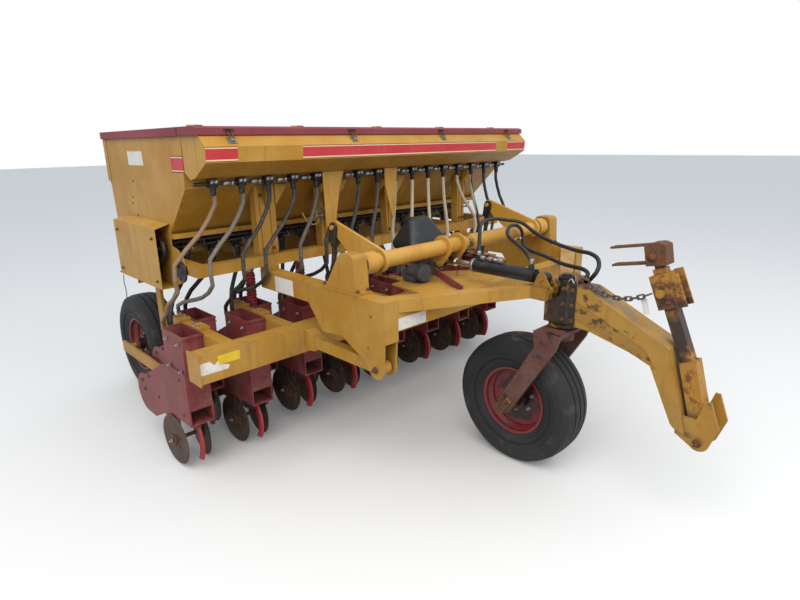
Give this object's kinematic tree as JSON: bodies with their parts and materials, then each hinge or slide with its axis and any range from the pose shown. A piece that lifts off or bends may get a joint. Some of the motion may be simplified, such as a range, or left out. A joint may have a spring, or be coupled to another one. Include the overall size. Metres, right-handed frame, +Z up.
{
  "type": "pull-type no-till seed drill",
  "caption": "Towed seed drill on three wheels: hopper with grass-seed box, lifted opener gang, caster front wheel and folding hitch pole.",
  "frame": {"origin": "centre of the bounding box at ground level", "axes": "+X forwards (travel), +Y left, +Z up"},
  "size_m": [4.0076, 3.096, 1.9237],
  "materials": {
    "yellow_paint": "faded yellow enamel",
    "maroon_paint": "faded maroon enamel",
    "red_paint": "red enamel",
    "lid_paint": "sun-faded red enamel",
    "fork_paint": "brown-red primer and rust",
    "dark_metal": "greasy black",
    "grey_cast": "dull grey casting",
    "rusty_steel": "bare steel with rust",
    "disc_steel": "worn disc steel",
    "tyre": "worn rubber",
    "hose_rubber": "matt rubber",
    "tube_plastic": "aged seed tube",
    "chrome_rod": "polished"
  },
  "bodies": {
    "frame": {"side_beams": "yellow_paint", "front_crossbeam": "yellow_paint", "nose_beams": "yellow_paint", "nose_housing": "yellow_paint", "shaft_stands": "yellow_paint", "hopper_frame": "yellow_paint", "box_posts": "yellow_paint", "hopper": "yellow_paint", "front_box": "yellow_paint", "grain_meters": "dark_metal", "grass_meters": "dark_metal", "drive_guard": "yellow_paint", "drive_sprockets": "dark_metal", "drive_gearbox": "grey_cast", "drive_cover": "dark_metal", "wheel_arms": "yellow_paint", "tongue": "yellow_paint", "safety_chain": "rusty_steel", "seed_tubes": "tube_plastic", "grain_hoses": "hose_rubber", "hose_lower": "hose_rubber", "hose_upper": "hose_rubber"},
    "rear_lid_body": {"rear_lid": "lid_paint"},
    "front_lid_body": {"front_lid": "lid_paint"},
    "caster": {"king_post": "dark_metal", "caster_fork": "fork_paint", "front_axle": "rusty_steel"},
    "front_wheel": {"front_tyre": "tyre", "front_rim": "red_paint"},
    "rear_right_wheel": {"rear_right_tyre": "tyre", "rear_right_rim": "red_paint"},
    "rear_left_wheel": {"rear_left_tyre": "tyre", "rear_left_rim": "red_paint"},
    "rockshaft_body": {"rockshaft": "yellow_paint"},
    "lift_rod_body": {"lift_rods": "dark_metal"},
    "barrel_body": {"cylinder_barrel": "dark_metal"},
    "rod_body": {"cylinder_rod": "chrome_rod"},
    "opener_gang": {"opener_frame": "yellow_paint", "opener_bodies": "maroon_paint", "opener_discs": "disc_steel", "opener_shoes": "red_paint", "opener_springs": "red_paint"},
    "pole_body": {"hitch_pole": "yellow_paint", "hitch_head": "rusty_steel"}
  },
  "joints": [
    {"name": "caster_swivel", "type": "hinge", "parent": "frame", "child": "caster", "pos_m": [1.194, 0, 1], "axis": [0, 0, 1], "range_deg": [-110, 110]},
    {"name": "front_wheel_spin", "type": "hinge", "parent": "caster", "child": "front_wheel", "pos_m": [0.954, 0, 0.378], "axis": [0, 1, 0], "continuous": true},
    {"name": "rear_right_spin", "type": "hinge", "parent": "frame", "child": "rear_right_wheel", "pos_m": [-1.626, -1.15, 0.378], "axis": [0, 1, 0], "continuous": true},
    {"name": "rear_left_spin", "type": "hinge", "parent": "frame", "child": "rear_left_wheel", "pos_m": [-1.626, 1.15, 0.378], "axis": [0, 1, 0], "continuous": true},
    {"name": "opener_lift", "type": "hinge", "parent": "frame", "child": "opener_gang", "pos_m": [0.729, 0, 0.765], "axis": [0, 1, 0], "range_deg": [-7, 0], "deforming": ["seed_tubes", "grain_hoses"]},
    {"name": "rockshaft_turn", "type": "hinge", "parent": "frame", "child": "rockshaft_body", "pos_m": [0.524, 0, 1.24], "axis": [0, 1, 0], "range_deg": [-12.09, 0]},
    {"name": "lift_rod_swing", "type": "hinge", "parent": "rockshaft_body", "child": "lift_rod_body", "pos_m": [0.169, 0, 1.378], "axis": [0, 1, 0], "range_deg": [0, 10.75]},
    {"name": "cylinder_swing", "type": "hinge", "parent": "frame", "child": "barrel_body", "pos_m": [1.154, -0.15, 1.15], "axis": [0, 1, 0], "range_deg": [-0.249, 0]},
    {"name": "cylinder_stroke", "type": "slide", "parent": "barrel_body", "child": "rod_body", "axis": [-1, 0, 0], "range_m": [-0.0194, 0]},
    {"name": "pole_fold", "type": "hinge", "parent": "frame", "child": "pole_body", "pos_m": [1.929, 0, 0.497], "axis": [0, 1, 0], "range_deg": [0, 100]},
    {"name": "rear_lid_hinge", "type": "hinge", "parent": "frame", "child": "rear_lid_body", "pos_m": [-1.408, 0, 1.866], "axis": [0, -1, 0], "range_deg": [0, 80]},
    {"name": "front_lid_hinge", "type": "hinge", "parent": "frame", "child": "front_lid_body", "pos_m": [-0.228, 0, 1.918], "axis": [0, -1, 0], "range_deg": [0, 85]}
  ],
  "couplings": [
    {"joint": "rockshaft_turn", "follows": "opener_lift", "ratio": 1.7205},
    {"joint": "lift_rod_swing", "follows": "opener_lift", "ratio": -1.528},
    {"joint": "cylinder_swing", "follows": "opener_lift", "ratio": 0.0284},
    {"joint": "cylinder_stroke", "follows": "opener_lift", "m_per_rad": 0.1573}
  ]
}
